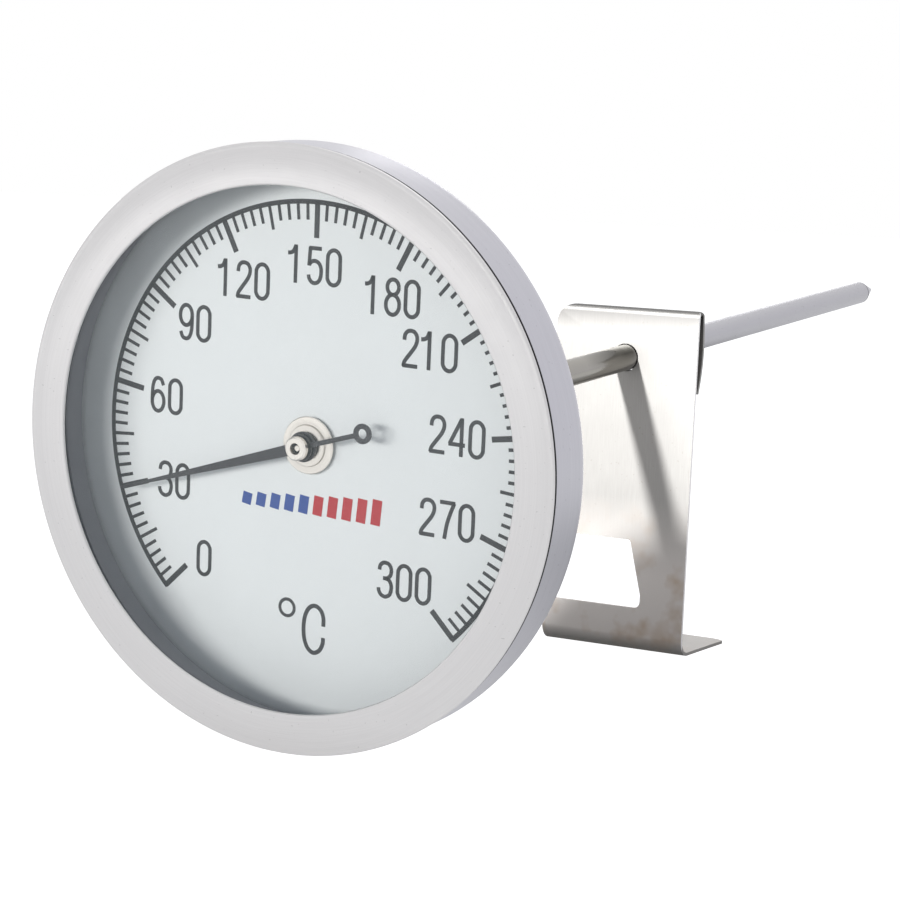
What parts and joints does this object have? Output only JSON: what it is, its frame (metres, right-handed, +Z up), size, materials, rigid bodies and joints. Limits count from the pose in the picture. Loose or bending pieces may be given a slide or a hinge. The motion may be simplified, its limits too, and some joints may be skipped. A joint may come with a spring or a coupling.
{
  "type": "dial thermometer",
  "caption": "Round dial thermometer with a long pointed stem and a folded sheet clip that slides on the stem, standing on its rim and the clip's foot.",
  "frame": {"origin": "on the ground under the middle of the bounding box", "axes": "+Y from the dial towards the tip of the stem, level with the ground; +Z up; the stem rises 4.83 degrees towards its tip"},
  "size_m": [0.075, 0.2106, 0.0752],
  "materials": {
    "case_steel": "satin drawn steel",
    "bezel_steel": "bright turned steel",
    "window_glass": "clear",
    "black_rubber": "matt",
    "spacer_metal": "satin",
    "dial_paint": "matt white",
    "nickel": "bright",
    "stem_steel": "polished near the dial, satin beyond",
    "brass": "turned",
    "bimetal": "dull",
    "black_paint": "satin",
    "spindle_steel": "drawn",
    "clip_steel": "bright rolled sheet"
  },
  "bodies": {
    "case": {"rear_case": "case_steel", "bezel_ring": "bezel_steel", "glass_lens": "window_glass", "lens_gasket": "black_rubber", "spacer_ring": "spacer_metal", "dial_plate": "dial_paint", "dial_bush": "nickel", "stem_tube": "stem_steel", "stem_tip": "stem_steel", "stem_collar": "case_steel", "collar_seal": "black_rubber", "case_nut": "brass", "upper_guide_bush": "brass", "lower_guide_bush": "brass", "bimetal_helix": "bimetal"},
    "pointer_assembly": {"pointer": "black_paint", "pointer_collar": "black_paint", "hub_cap": "nickel", "spindle": "spindle_steel", "helix_sleeve": "brass"},
    "clip": {"pan_clip": "clip_steel"}
  },
  "joints": [
    {"name": "pointer_turn", "type": "hinge", "parent": "case", "child": "pointer_assembly", "pos_m": [0, -0.0947, 0.03797], "axis": [0, 0.9965, 0.0841], "range_deg": [-27, 243], "stiffness_Nm_per_rad": 0.001},
    {"name": "clip_slide", "type": "slide", "parent": "case", "child": "clip", "axis": [0, 0.9965, 0.0841], "range_m": [-0.076, 0.095]}
  ]
}
